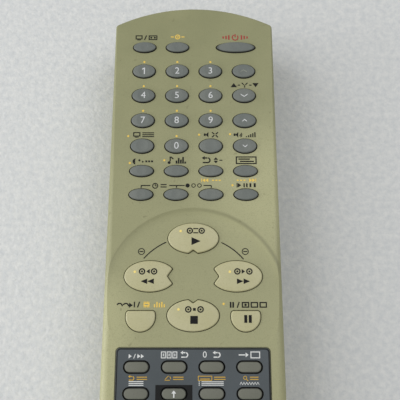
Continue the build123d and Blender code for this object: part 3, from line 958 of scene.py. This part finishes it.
class Pictograms(Stencil):
    """Plain signs, each drawn about the drawing's origin in units of about half its height."""

    def screen(self, x: float) -> None:
        """A screen on its stand."""
        self.box(x, 0.15, 2.7, 1.75, 0.38)
        self.bar(x, -0.98, 1.4, 0.3)

    def cassette(self, x: float) -> None:
        """A tape cassette with its two reels.

        Args:
            x: Its middle across.
        """
        self.box(x, 0, 3.4, 2.0, 0.38)
        for reel in (-0.7, 0.7):
            self.dot(x + reel, 0, 0.38)

    def disc(self) -> None:
        """A disc with its centre hole."""
        self.ring(0, 0, 1.05, 0.34)
        self.ring(0, 0, 0.42, 0.2)

    def standby(self) -> None:
        """An open ring with a bar at its top."""
        self.arc(0, 0, 0.85, 0.32, 125, 415)
        self.bar(0, 0.62, 0.32, 1.0)

    def speaker(self, x: float) -> None:
        """A loudspeaker that faces right."""
        self.bar(x - 0.85, 0, 0.7, 0.95)
        self.triangle(x, 0, 1.0, 2.2, 180)

    def waves(self, x: float, count: int) -> None:
        """Sound waves in front of a loudspeaker."""
        for wave in range(count):
            self.arc(x, 0, 0.6 + 0.55 * wave, 0.34, -45, 45)

    def antenna(self) -> None:
        """A mast with two rods."""
        self.bar(0, -0.5, 0.38, 1.0)
        for way in (-1, 1):
            self.line((0.3 * way, 0.12), (1.1 * way, 1.0), 0.38)

    def lines(self, x: float, width: float, count: int, pitch: float, stroke: float = 0.38) -> None:
        """Lines one under another."""
        for row in range(count):
            self.bar(x, ((count - 1) / 2 - row) * pitch, width, stroke)

    def dashes(self, x: float, width: float, count: int, stroke: float) -> None:
        """Short dashes in a row.

        Args:
            x: The row's middle across.
            width: The row's size across.
            count: How many dashes it has.
            stroke: Their size up.
        """
        pitch = width / count
        for step in range(count):
            self.bar(x + (step - (count - 1) / 2) * pitch, 0, 0.66 * pitch, stroke)

    def levels(self, x: float, heights: tuple[float, ...], pitch: float = 0.62) -> None:
        """Upright bars of given heights that stand on one line."""
        for step, height in enumerate(heights):
            self.bar(x + step * pitch, height / 2 - 1, 0.44, height)

    def moon(self, x: float) -> None:
        """A crescent moon with two stars.

        Args:
            x: Its middle across.
        """
        self.crescent(x, 0, 1.0)
        for star, size in ((1.2, 0.42), (2.3, 0.34)):
            self.dot(x + star, 0.45 * (2.0 - star), size, 4)

    def note(self, x: float) -> None:
        """A quaver.

        Args:
            x: Its middle across.
        """
        self.dot(x - 0.3, -0.7, 0.42)
        self.bar(x - 0.02, 0.4, 0.32, 1.4)
        self.line((x + 0.18, 1.0), (x + 0.9, 0.4), 0.34)

    def u_turn(self, x: float) -> None:
        """An arrow that turns back to the left.

        Args:
            x: Its middle across.
        """
        self.arc(x + 0.5, 0, 0.72, 0.4, -90, 90)
        self.bar(x - 0.2, -0.72, 1.36, 0.4)
        self.bar(x + 0.1, 0.72, 0.78, 0.4)
        self.triangle(x - 0.74, 0.72, 0.84, 1.2, 180)

    def clock(self, x: float) -> None:
        """A clock face with two hands.

        Args:
            x: Its middle across.
        """
        self.ring(x, 0, 1.1, 0.34)
        self.bar(x, 0.3, 0.3, 0.7)
        self.bar(x + 0.36, -0.06, 0.4, 0.28)

    def play(self, x: float, way: int = 1, size: float = 1.0) -> None:
        """One filled arrow head, to the right or to the left."""
        self.triangle(x, 0, 1.25 * size, 1.7 * size, 0 if way > 0 else 180)

    def skip(self, x: float, way: int) -> None:
        """Two arrow heads that run against a bar.

        Args:
            x: Their middle across.
            way: One to the right, or minus one to the left.
        """
        self.play(x - 0.75 * way, way)
        self.play(x + 0.55 * way, way)
        self.bar(x + 1.42 * way, 0, 0.3, 1.6)

    def reels(self, spread: float) -> None:
        """Two tape reels side by side.

        Args:
            spread: How far each stands from the middle.
        """
        for way in (-1, 1):
            self.ring(way * spread, 0, 1.08, 0.42)
            self.dot(way * spread, 0, 0.34)

    def chip(self, x: float) -> None:
        """A memory chip with its legs.

        Args:
            x: Its middle across.
        """
        self.box(x, 0, 2.1, 1.2, 0.4)
        for step in range(4):
            for way in (-1, 1):
                self.bar(x + (step - 1.5) * 0.54, 0.82 * way, 0.32, 0.4)

    def magnifier(self, x: float) -> None:
        """A magnifying glass."""
        self.ring(x, 0.2, 0.8, 0.26)
        self.line((x + 0.6, -0.42), (x + 1.25, -1.05), 0.32)

    def corner(self, x: float) -> None:
        """Two lines that meet at an angle."""
        self.bar(x, -0.8, 2.2, 0.28)
        self.line((x - 1.0, -0.5), (x + 0.5, 0.95), 0.28)

    def wave(self, x: float, count: int) -> None:
        """A zigzag track."""
        for step in range(count):
            self.chevron(x + (step - (count - 1) / 2) * 1.2, 0, 1.16, 1.0, 0.4)


@dataclass
class Studio:
    """The pale floor, the soft lamps and the camera."""

    floor_size: float = 3000.0
    floor_finish: FloorFinish = FloorFinish(
        "pale_floor", linear(200, 203, 204), linear(216, 217, 215)
    )
    room_light: float = 0.38
    lamps: tuple[tuple[str, Place, float, float], ...] = (
        ("window_side", (-1320, 330, 1320), 1540, 17.0),
        ("low_window", (-520, -60, 130), 300, 1.3),
        ("overhead", (400, 240, 820), 600, 2.55),
    )
    lens: float = 54.0
    sensor: float = 36.0
    camera_place: Place = (2.2, -25.6, 219.6)
    camera_tilt: float = 14.8

    def build(self) -> None:
        """Set up the floor, the light and the camera."""
        bpy.context.scene.view_settings.view_transform = "Standard"
        self.lay_floor()
        self.light_room()
        for lamp in self.lamps:
            self.hang_lamp(*lamp)
        self.set_camera()

    def lay_floor(self) -> None:
        """Lay the pale floor that the handset rests on."""
        bpy.ops.object.select_all(action="DESELECT")
        bpy.ops.mesh.primitive_plane_add(size=self.floor_size * MM)
        floor = bpy.context.object
        floor.name = "floor"
        floor.data.materials.append(self.floor_finish.material())

    def light_room(self) -> None:
        """Fill the room with even white light."""
        world = bpy.data.worlds.new("room")
        world.use_nodes = True
        background = world.node_tree.nodes["Background"]
        background.inputs["Color"].default_value = (1.0, 1.0, 1.0, 1)
        background.inputs["Strength"].default_value = self.room_light
        bpy.context.scene.world = world

    def set_camera(self) -> None:
        """Hold the camera over the handset, tilted a little towards its nose."""
        camera = bpy.data.cameras.new("camera")
        camera.lens = self.lens
        camera.sensor_width = self.sensor
        eye = bpy.data.objects.new("camera", camera)
        eye.location = Vector(self.camera_place) * MM
        eye.rotation_euler = (radians(self.camera_tilt), 0, 0)
        bpy.context.scene.collection.objects.link(eye)
        bpy.context.scene.camera = eye

    def hang_lamp(self, name: str, place: Place, size: float, power: float) -> None:
        """Hang a square soft lamp that faces the handset.

        Args:
            name: The lamp's name.
            place: Where it hangs.
            size: The length of its side.
            power: Its power in watts.
        """
        lamp = bpy.data.lights.new(name, "AREA")
        lamp.size = size * MM
        lamp.energy = power
        holder = bpy.data.objects.new(name, lamp)
        holder.location = Vector(place) * MM
        holder.rotation_euler = (-Vector(place)).to_track_quat("-Z", "Y").to_euler()
        bpy.context.scene.collection.objects.link(holder)


@dataclass
class CaseShell:
    """The two halves of the case, the battery cover and the marks printed on the upper half."""

    print_height: float = 0.92
    stroke: float = 0.34
    dot_radius: float = 0.38
    dot_sides: int = 14
    dot_over_key: float = 3.7
    bracket_y: float = 31.0
    sweep_y: float = -8.0
    sweep_radius: float = 21.6
    sweep_ends: tuple[Point, ...] = ((115, 139.4), (40.6, 65))
    barred_rings: tuple[Point, ...] = ((-17.1, 8.5), (17.1, 8.5))
    arrow_y: float = -52.0
    arrow_size: Point = (5.0, 7.0)
    arrow_height: float = 0.15
    shells: tuple[str, ...] = ("upper_case", "lower_case", "battery_cover")
    dots: tuple[Point, ...] = (
        (-22.6, 48.8), (1.9, 49.3), (12.6, 49.5), (-21.8, 39.0), (-10.0, 40.0), (13.2, 31.1),
        (9.8, -8.6),
    )

    def build(self) -> None:
        """Dress the shells and print the marks."""
        for node in self.shells:
            dress(node, Finish.CASE)
        self.print_black()
        self.print_yellow()
        self.print_red()
        self.mould_arrow()

    def print_black(self) -> None:
        """Print the black signs over the keys, the bracket and the sweeps."""
        ink = Pictograms("case_print_black")
        size = self.print_height
        ink.at(-17.2, 86.7, size)
        ink.screen(-2.9)
        ink.line((-0.75, -1.0), (0.05, 1.0), 0.4)
        ink.cassette(2.6)
        ink.at(18.0, 68.0, size)
        ink.antenna()
        ink.triangle(-4.2, 0, 1.7, 2.4, 90)
        ink.triangle(4.2, 0, 1.7, 2.4, -90)
        for x in (-2.2, 2.2):
            ink.bar(x, 0, 0.9, 0.4)
        ink.at(-17.3, 49.3, size)
        ink.screen(-2.6)
        ink.lines(1.7, 4.4, 3, 0.75)
        ink.at(6.1, 49.3, size)
        ink.speaker(-1.6)
        for y in (-1, 1):
            ink.line((1.66, 0.2 * y), (2.5, 0.98 * y), 0.44)
            ink.line((1.14, 0.2 * y), (0.3, 0.98 * y), 0.44)
        ink.at(17.9, 49.3, size)
        ink.speaker(-3.2)
        ink.waves(-2.5, 2)
        ink.levels(0.4, (0.4, 0.8, 1.2, 1.6, 2.0), 0.8)
        ink.at(-17.5, 39.6, 1.05)
        ink.moon(-2.2)
        ink.dashes(2.2, 2.8, 3, 0.6)
        ink.at(-5.6, 40.0, 1.2)
        ink.note(-2.0)
        ink.levels(-0.2, (0.9, 1.7, 1.2, 2.0, 0.6))
        ink.at(6.0, 40.0, 1.15)
        ink.u_turn(-1.6)
        ink.triangle(1.4, 0.55, 0.8, 1.3, 90)
        ink.triangle(1.4, -0.55, 0.8, 1.3, -90)
        ink.bar(2.9, 0, 0.9, 0.3)
        ink.at(18.0, 40.0, 1.15)
        ink.box(0, 0, 6.2, 2.4, 0.34)
        ink.bar(-0.6, 0.36, 3.4, 0.38)
        ink.bar(0.2, -0.36, 4.2, 0.38)
        ink.at(-11.5, 30.9, size)
        ink.clock(-1.6)
        ink.lines(1.5, 2.2, 2, 0.9)
        self.print_bracket(ink)
        ink.at(18.6, 31.1, size)
        ink.bar(-4.2, 0, 0.3, 1.7)
        ink.play(-3.3)
        for step, x in enumerate((-1.6, -0.6, 0.7, 2.3)):
            ink.bar(x, 0, 0.45 + 0.1 * step, 1.5)
        self.print_sweeps(ink)
        ink.at(-21.3, -8.8, size)
        for hop in (-2.6, -0.4):
            ink.arc(hop, -0.6, 0.95, 0.46, 15, 165)
        ink.triangle(1.4, -0.25, 1.3, 1.8)
        ink.bar(2.6, 0, 0.42, 2.0)
        ink.line((3.7, -1.0), (4.4, 1.0), 0.4)
        ink.at(17.2, -8.9, size)
        for x in (-5.6, -4.7):
            ink.bar(x, 0, 0.56, 2.0)
        ink.line((-3.3, -1.0), (-2.6, 1.0), 0.4)
        for x in (-0.4, 2.7, 5.8):
            ink.box(x, 0, 2.6, 2.0, 0.42)
        ink.dot(-0.4, 0, 0.42)
        ink.lay("upper_case", Finish.INK_BLACK, "case", "handset")

    def print_bracket(self, ink: Pictograms) -> None:
        """Print the line that joins three keys, with its ticks and its round recording sign.

        Args:
            ink: The drawing that takes it.
        """
        ink.at(0, self.bracket_y)
        for start, end in ((-17.83, -14.6), (-8.2, -3.0), (3.4, 6.13)):
            ink.bar((start + end) / 2, 0, end - start, self.stroke)
        for x in (-17.7, -5.75, 6.0):
            ink.bar(x, -0.48, self.stroke, 0.68)
        ink.dot(-2.0, 0, 0.72)
        for reel in (0.0, 2.0):
            ink.ring(reel, 0, 0.75, 0.24)

    def print_sweeps(self, ink: Pictograms) -> None:
        """Print the two sweeps from the play key to its neighbours, and their barred rings.

        Args:
            ink: The drawing that takes them.
        """
        ink.at(0, self.sweep_y)
        for start, end in self.sweep_ends:
            ink.arc(0, 0, self.sweep_radius, self.stroke, start, end)
        for place in self.barred_rings:
            ink.at(*place)
            ink.ring(0, 0, 1.14, 0.26)
            ink.bar(0, 0, 1.3, 0.32)

    def print_yellow(self) -> None:
        """Print the yellow signs and dots."""
        ink = Pictograms("case_print_yellow")
        for numeral in NUMERALS:
            ink.at(*middle("key_" + numeral))
            ink.dot(0, self.dot_over_key, self.dot_radius, self.dot_sides)
        ink.at(0, 0)
        for place in self.dots:
            ink.dot(*place, self.dot_radius, self.dot_sides)
        ink.at(-5.9, 87.0, self.print_height)
        ink.disc()
        for x in (-2.1, 2.1):
            ink.bar(x, 0, 1.2, 0.4)
        for x, way in ((6.0, -1), (17.9, 1)):
            ink.at(x, 32.85, 0.8)
            ink.skip(2.6 * way, way)
            ink.dashes(-2.2 * way, 4.2, 3, 0.5)
        ink.at(-12.6, -8.8, self.print_height)
        ink.chip(-2.6)
        ink.levels(0.2, (1.1, 1.9, 1.5, 1.9, 1.1), 0.85)
        ink.lay("upper_case", Finish.INK_YELLOW, "case", "handset")

    def print_red(self) -> None:
        """Print the red standby sign over the power key."""
        ink = Pictograms("case_print_red")
        ink.at(14.9, 86.8, 1.2)
        ink.standby()
        for way in (-1, 1):
            for step, height in enumerate((1.5, 1.1, 0.7)):
                ink.bar(way * (1.9 + 0.85 * step), 0, 0.42, height)
        ink.lay("upper_case", Finish.INK_RED, "case", "handset")

    def mould_arrow(self) -> None:
        """Raise an arrow on the battery cover that shows which way it slides."""
        mark = Stencil("cover_arrow")
        mark.at(0, self.arrow_y)
        mark.triangle(0, 0, *self.arrow_size, -90)
        below, raised = Side.UNDERSIDE, self.arrow_height
        mark.lay("battery_cover", Finish.CASE, "case", "battery_cover", side=below, height=raised)


@dataclass
class RubberKeypad:
    """The grey rubber keys of the upper field, with their numerals and arrow heads."""

    numeral_size: float = 3.5
    numeral_lift: float = -0.1
    chevron_stroke: float = 0.34
    worn_chevron: str = "channel_up"
    plain: tuple[str, ...] = (
        "tape_mode", "disc_mode", "power", "display", "mute", "sleep", "audio", "last_channel",
        "caption", "timer", "record", "skip_back", "skip_forward",
    )
    chevrons: tuple[tuple[str, float, float], ...] = (
        ("channel_up", 2.4, 0.8),
        ("channel_down", 2.4, -0.8),
        ("volume_up", 1.6, 0.7),
        ("volume_down", 1.6, -0.7),
    )

    def build(self) -> None:
        """Dress the keys and print what stands on them."""
        for name in self.plain:
            dress("key_" + name, Finish.KEY_RUBBER)
        for numeral in NUMERALS:
            node = "key_" + numeral
            dress(node, Finish.KEY_RUBBER)
            ink = centred_stencil("numeral_" + numeral, node)
            self.draw_numeral(ink, numeral)
            ink.lay(node, Finish.INK_DIGIT, "rubber_key", node)
        for name, width, rise in self.chevrons:
            node = "key_" + name
            dress(node, Finish.KEY_RUBBER)
            ink = centred_stencil("chevron_" + name, node)
            ink.chevron(0, self.numeral_lift, width, rise, self.chevron_stroke)
            finish = Finish.INK_FAINT if name == self.worn_chevron else Finish.INK_DIGIT
            ink.lay(node, finish, "rubber_key", node, cuts=3)

    def draw_numeral(self, ink: Pictograms, numeral: str) -> None:
        """Draw a key's numeral, with a flag on the one.

        Args:
            ink: The drawing that takes it.
            numeral: The numeral.
        """
        lift = self.numeral_lift
        if numeral == "1":
            ink.bar(0.16, lift, 0.38, 2.5)
            ink.line((-0.62, lift + 0.62), (-0.05, lift + 1.08), 0.34)
        else:
            ink.digit(numeral, 0, lift, self.numeral_size)


def centred_stencil(name: str, node: str) -> Pictograms:
    """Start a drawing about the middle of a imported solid.

    Args:
        name: The name of the piece.
        node: The solid.

    Returns:
        The empty drawing.
    """
    drawing = Pictograms(name)
    drawing.at(*middle(node))
    return drawing


@dataclass
class TransportPad:
    """The cream tape keys round the scooped middle, with their signs and dots."""

    sign_height: float = 0.98
    dot_radius: float = 0.42
    dot_sides: int = 14
    keys: tuple[str, ...] = ("play", "rewind", "fast_forward", "stop", "memory", "pause")
    signs: tuple[tuple[str, Point, Point, Point], ...] = (
        ("play", (0.8, 15.3), (0.9, 11.8), (-4.2, 15.2)),
        ("rewind", (-14.7, 1.8), (-14.9, -1.4), (-19.0, 1.7)),
        ("fast_forward", (16.3, 1.8), (16.3, -1.4), (11.9, 1.7)),
        ("stop", (0.4, -10.4), (0.3, -13.7), (-4.7, -10.4)),
    )
    pause_place: Point = (17.5, -13.4)

    def build(self) -> None:
        """Dress the keys and print their signs."""
        for name in self.keys:
            dress("key_" + name, Finish.CREAM_KEY)
        for sign in self.signs:
            self.print_sign(*sign)
        ink = Pictograms("sign_pause")
        ink.at(*self.pause_place)
        for x in (-0.72, 0.72):
            ink.bar(x, 0, 0.95, 2.45)
        ink.lay("key_pause", Finish.INK_KEY_BLACK, "cream_key", "key_pause")

    def print_sign(self, name: str, upper: Point, lower: Point, dot: Point) -> None:
        """Print a key's reels, its sign below them and its yellow dot.

        Args:
            name: The key's name.
            upper: Where the reels are.
            lower: Where the sign is.
            dot: Where the dot is.
        """
        node = "key_" + name
        ink = Pictograms("sign_" + name)
        ink.at(*upper, self.sign_height)
        ink.reels(2.0)
        if name == "stop":
            ink.bar(0, 0, 0.9, 0.9)
        elif name == "play":
            ink.lines(0, 1.7, 2, 1.44, 0.36)
        else:
            ink.play(0, 1 if name == "fast_forward" else -1, 0.9)
        ink.at(*lower)
        if name == "stop":
            ink.bar(0, 0, 2.4, 2.5)
        elif name == "play":
            ink.triangle(0, 0, 3.0, 2.6)
        else:
            turn = 0 if name == "fast_forward" else 180
            for x in (-1.08, 1.08):
                ink.triangle(x, 0, 2.1, 1.75, turn)
        ink.lay(node, Finish.INK_KEY_BLACK, "cream_key", node)
        spot = Stencil("dot_" + name)
        spot.at(*dot)
        spot.dot(0, 0, self.dot_radius, self.dot_sides)
        spot.lay(node, Finish.INK_PALE, "cream_key", node)


@dataclass
class FunctionPanel:
    """The inlaid panel, its keys, its printed block and its signs."""

    rows: tuple[tuple[str, ...], ...] = (
        ("tape_speed", "counter_reset", "zero_return", "input"),
        ("menu", "up", "program", "tracking"),
        ("left", "enter", "right", "repeat"),
        ("title", "down", "setup", "clear"),
    )
    block_half_depth: float = 2.65
    block_half_pitch: float = 5.75
    block_level: float = 0.99
    block_offset: float = 0.6
    frame_margin: float = 0.12
    frame_corner: float = 1.3
    frame_stroke: float = 0.36
    first_row_size: float = 0.95
    second_row_size: float = 0.72
    lower_rows_size: float = 0.75
    ochre_y: float = -31.55
    ochre_size: float = 0.74

    def build(self) -> None:
        """Dress the panel and its keys, and print the block and the signs."""
        dress("function_panel", Finish.PANEL)
        for row in self.rows:
            for name in row:
                dress("key_" + name, Finish.PANEL_KEY)
        self.print_frame()
        self.print_block()
        self.print_arrows()
        self.print_white()
        self.print_ochre()

    def print_frame(self) -> None:
        """Print the dark line that runs along the panel's edge."""
        low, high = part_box("function_panel")
        width, depth = (high[0] - low[0]) / MM, (high[1] - low[1]) / MM
        ink = centred_stencil("panel_frame", "function_panel")
        ink.bar(0, 0, width - 2 * self.frame_margin, depth - 2 * self.frame_margin)
        bpy.ops.mesh.bevel(offset=self.frame_corner * MM, segments=6, affect="VERTICES")
        bpy.ops.mesh.select_linked()
        ink.hollow(self.frame_stroke)
        ink.lay("function_panel", Finish.INK_BLOCK, "panel", "handset", cuts=0)

    def print_block(self) -> None:
        """Print the dark cross round the arrow keys, as a skin of the panel's own face."""
        panel = frame["nodes"]["function_panel"]
        skin = bpy.data.objects.new("panel_block", panel.data.copy())
        bpy.context.scene.collection.objects.link(skin)
        activate(skin)
        up, down, left, right = (middle("key_" + way) for way in ("up", "down", "left", "right"))
        half, depth = self.block_half_pitch, self.block_half_depth
        cuts_x = (left[0] - half, up[0] - half, up[0] + half, right[0] + half)
        cuts_y = (down[1] - depth, left[1] - depth, left[1] + depth, up[1] + depth)
        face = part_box("function_panel")[1][2]
        bpy.ops.object.mode_set(mode="EDIT")
        bpy.ops.mesh.select_all(action="SELECT")
        bpy.ops.mesh.remove_doubles(threshold=Stencil.WELD * MM)
        for axis, cuts in enumerate((cuts_x, cuts_y)):
            across = Vector((0, 0, 0))
            across[axis] = 1
            for cut in cuts:
                bpy.ops.mesh.select_all(action="SELECT")
                bpy.ops.mesh.bisect(plane_co=across * cut * MM, plane_no=across)
        sheet = bmesh.from_edit_mesh(skin.data)
        for facet in sheet.faces:
            centre = facet.calc_center_median()
            x, y = centre.x / MM, centre.y / MM
            tall = cuts_x[1] < x < cuts_x[2] and cuts_y[0] < y < cuts_y[3]
            wide = cuts_x[0] < x < cuts_x[3] and cuts_y[1] < y < cuts_y[2]
            level = facet.normal.z > self.block_level and abs(centre.z - face) < Stencil.HAIR * MM
            facet.select_set(not (level and (tall or wide)))
        bmesh.update_edit_mesh(skin.data)
        bpy.ops.mesh.delete(type="FACE")
        bpy.ops.object.mode_set(mode="OBJECT")
        depth = (Stencil.HEIGHT + Stencil.SINK) / 2
        complete(skin, depth, self.block_offset, Finish.INK_BLOCK, "handset")

    def print_arrows(self) -> None:
        """Print the arrows on the four direction keys and the ring on the middle one."""
        for name, turn in (("up", 90), ("right", 0), ("down", -90), ("left", 180)):
            node = "key_" + name
            ink = centred_stencil("arrow_" + name, node)
            ink.triangle(0.6, 0, 0.9, 1.5)
            ink.bar(-0.5, 0, 1.28, 0.4)
            bpy.ops.mesh.select_all(action="SELECT")
            ink.rotate(0, 0, turn)
            ink.lay(node, Finish.INK_WHITE, "panel_key", node)
        ink = centred_stencil("ring_enter", "key_enter")
        ink.ring(0, 0, 0.85, 0.3)
        ink.lay("key_enter", Finish.INK_WHITE, "panel_key", "key_enter")

    def print_white(self) -> None:
        """Print the white signs over the keys."""
        ink = Pictograms("panel_print_white")
        ink.at(-17.7, -24.9, 0.78)
        ink.play(-2.6)
        ink.line((-1.2, -0.9), (-0.5, 0.9), 0.3)
        for x in (0.9, 2.3):
            ink.play(x)
        ink.at(-5.9, -24.5, self.first_row_size)
        for x in (-3.6, -1.7, 0.2):
            ink.box(x, 0, 1.6, 2.2, 0.28)
            ink.bar(x, 0, 0.3, 0.9)
        ink.u_turn(3.2)
        ink.at(5.8, -24.5, self.first_row_size)
        ink.digit("0", -2.2, 0, 2.9)
        ink.u_turn(1.6)
        ink.at(17.5, -24.5, self.first_row_size)
        ink.bar(-2.2, 0, 2.2, 0.36)
        ink.triangle(-0.5, 0, 1.0, 1.5)
        ink.box(2.2, 0, 3.2, 2.2, 0.32)
        ink.at(-17.7, -33.1, self.second_row_size)
        ink.lines(0, 6.4, 3, 0.78, 0.36)
        ink.at(5.7, -33.1, self.second_row_size)
        for y in (-0.7, 0.0, 0.7):
            ink.dot(-5.2, y, 0.24, 10)
        ink.lines(0.6, 9.6, 3, 0.7, 0.32)
        ink.at(17.6, -33.1, self.second_row_size)
        ink.wave(0, 7)
        ink.at(17.7, -40.4, self.lower_rows_size)
        ink.u_turn(-0.9)
        ink.play(1.6)
        ink.at(-17.7, -48.4, self.lower_rows_size)
        ink.lines(0.6, 3.6, 2, 0.9, 0.34)
        ink.dot(-2.2, 0, 0.6)
        ink.at(5.9, -48.4, self.lower_rows_size)
        ink.ring(0, 0, 0.9, 0.3)
        for x in (-2.2, 2.2):
            ink.bar(x, 0, 1.6, 0.34)
        ink.at(17.7, -48.4, self.lower_rows_size)
        for x in (-1, 1):
            for y in (-1, 1):
                ink.line((0.14 * x, 0.14 * y), (0.9 * x, 0.9 * y), 0.3)
        ink.lay("function_panel", Finish.INK_WHITE, "panel", "handset")

    def print_ochre(self) -> None:
        """Print the ochre signs under the first row of keys."""
        ink = Pictograms("panel_print_ochre")
        ink.at(-17.7, self.ochre_y, self.ochre_size)
        ink.u_turn(-2.2)
        ink.lines(2.4, 4.4, 2, 0.9, 0.36)
        ink.at(-6.2, self.ochre_y, self.ochre_size)
        ink.corner(-2.4)
        ink.arc(-3.5, -0.8, 2.6, 0.28, 12, 40)
        ink.lines(2.2, 4.4, 2, 0.9, 0.36)
        ink.at(5.7, self.ochre_y, self.ochre_size)
        ink.box(-2.6, 0, 6.0, 2.0, 0.3)
        ink.bar(-2.6, -0.3, 4.0, 0.34)
        ink.lines(3.6, 4.8, 2, 0.9, 0.36)
        ink.at(17.6, self.ochre_y, self.ochre_size)
        ink.magnifier(-1.8)
        ink.lines(2.0, 3.6, 2, 0.9, 0.36)
        ink.lay("function_panel", Finish.INK_PANEL_YELLOW, "panel", "handset")


@dataclass
class Electronics:
    """What lies between the case halves: the mat, the board, its parts and the emitter."""

    finishes: tuple[tuple[str, Finish], ...] = (
        ("keypad_mat", Finish.MAT),
        ("circuit_board", Finish.BOARD),
        ("board_components", Finish.COMPONENT),
        ("infrared_emitter", Finish.EMITTER),
        ("infrared_window", Finish.WINDOW),
    )

    def build(self) -> None:
        """Dress the pieces."""
        for node, finish in self.finishes:
            dress(node, finish)


@dataclass
class BatteryBay:
    """The two cells and the plated contacts that hold them."""

    finishes: tuple[tuple[str, Finish], ...] = (
        ("battery_cells", Finish.CELL),
        ("battery_contacts", Finish.CONTACT),
    )

    def build(self) -> None:
        """Dress the pieces."""
        for node, finish in self.finishes:
            dress(node, finish)


def main() -> None:
    """Build the studio and every sub-assembly in order."""
    logging.basicConfig(level=logging.INFO, format="%(name)s: %(message)s")
    shown = (CaseShell(), RubberKeypad(), TransportPad(), FunctionPanel())
    for part in (Studio(), *shown, Electronics(), BatteryBay()):
        part.build()
        LOG.info("built %s", type(part).__name__)


if __name__ == "__main__":
    main()
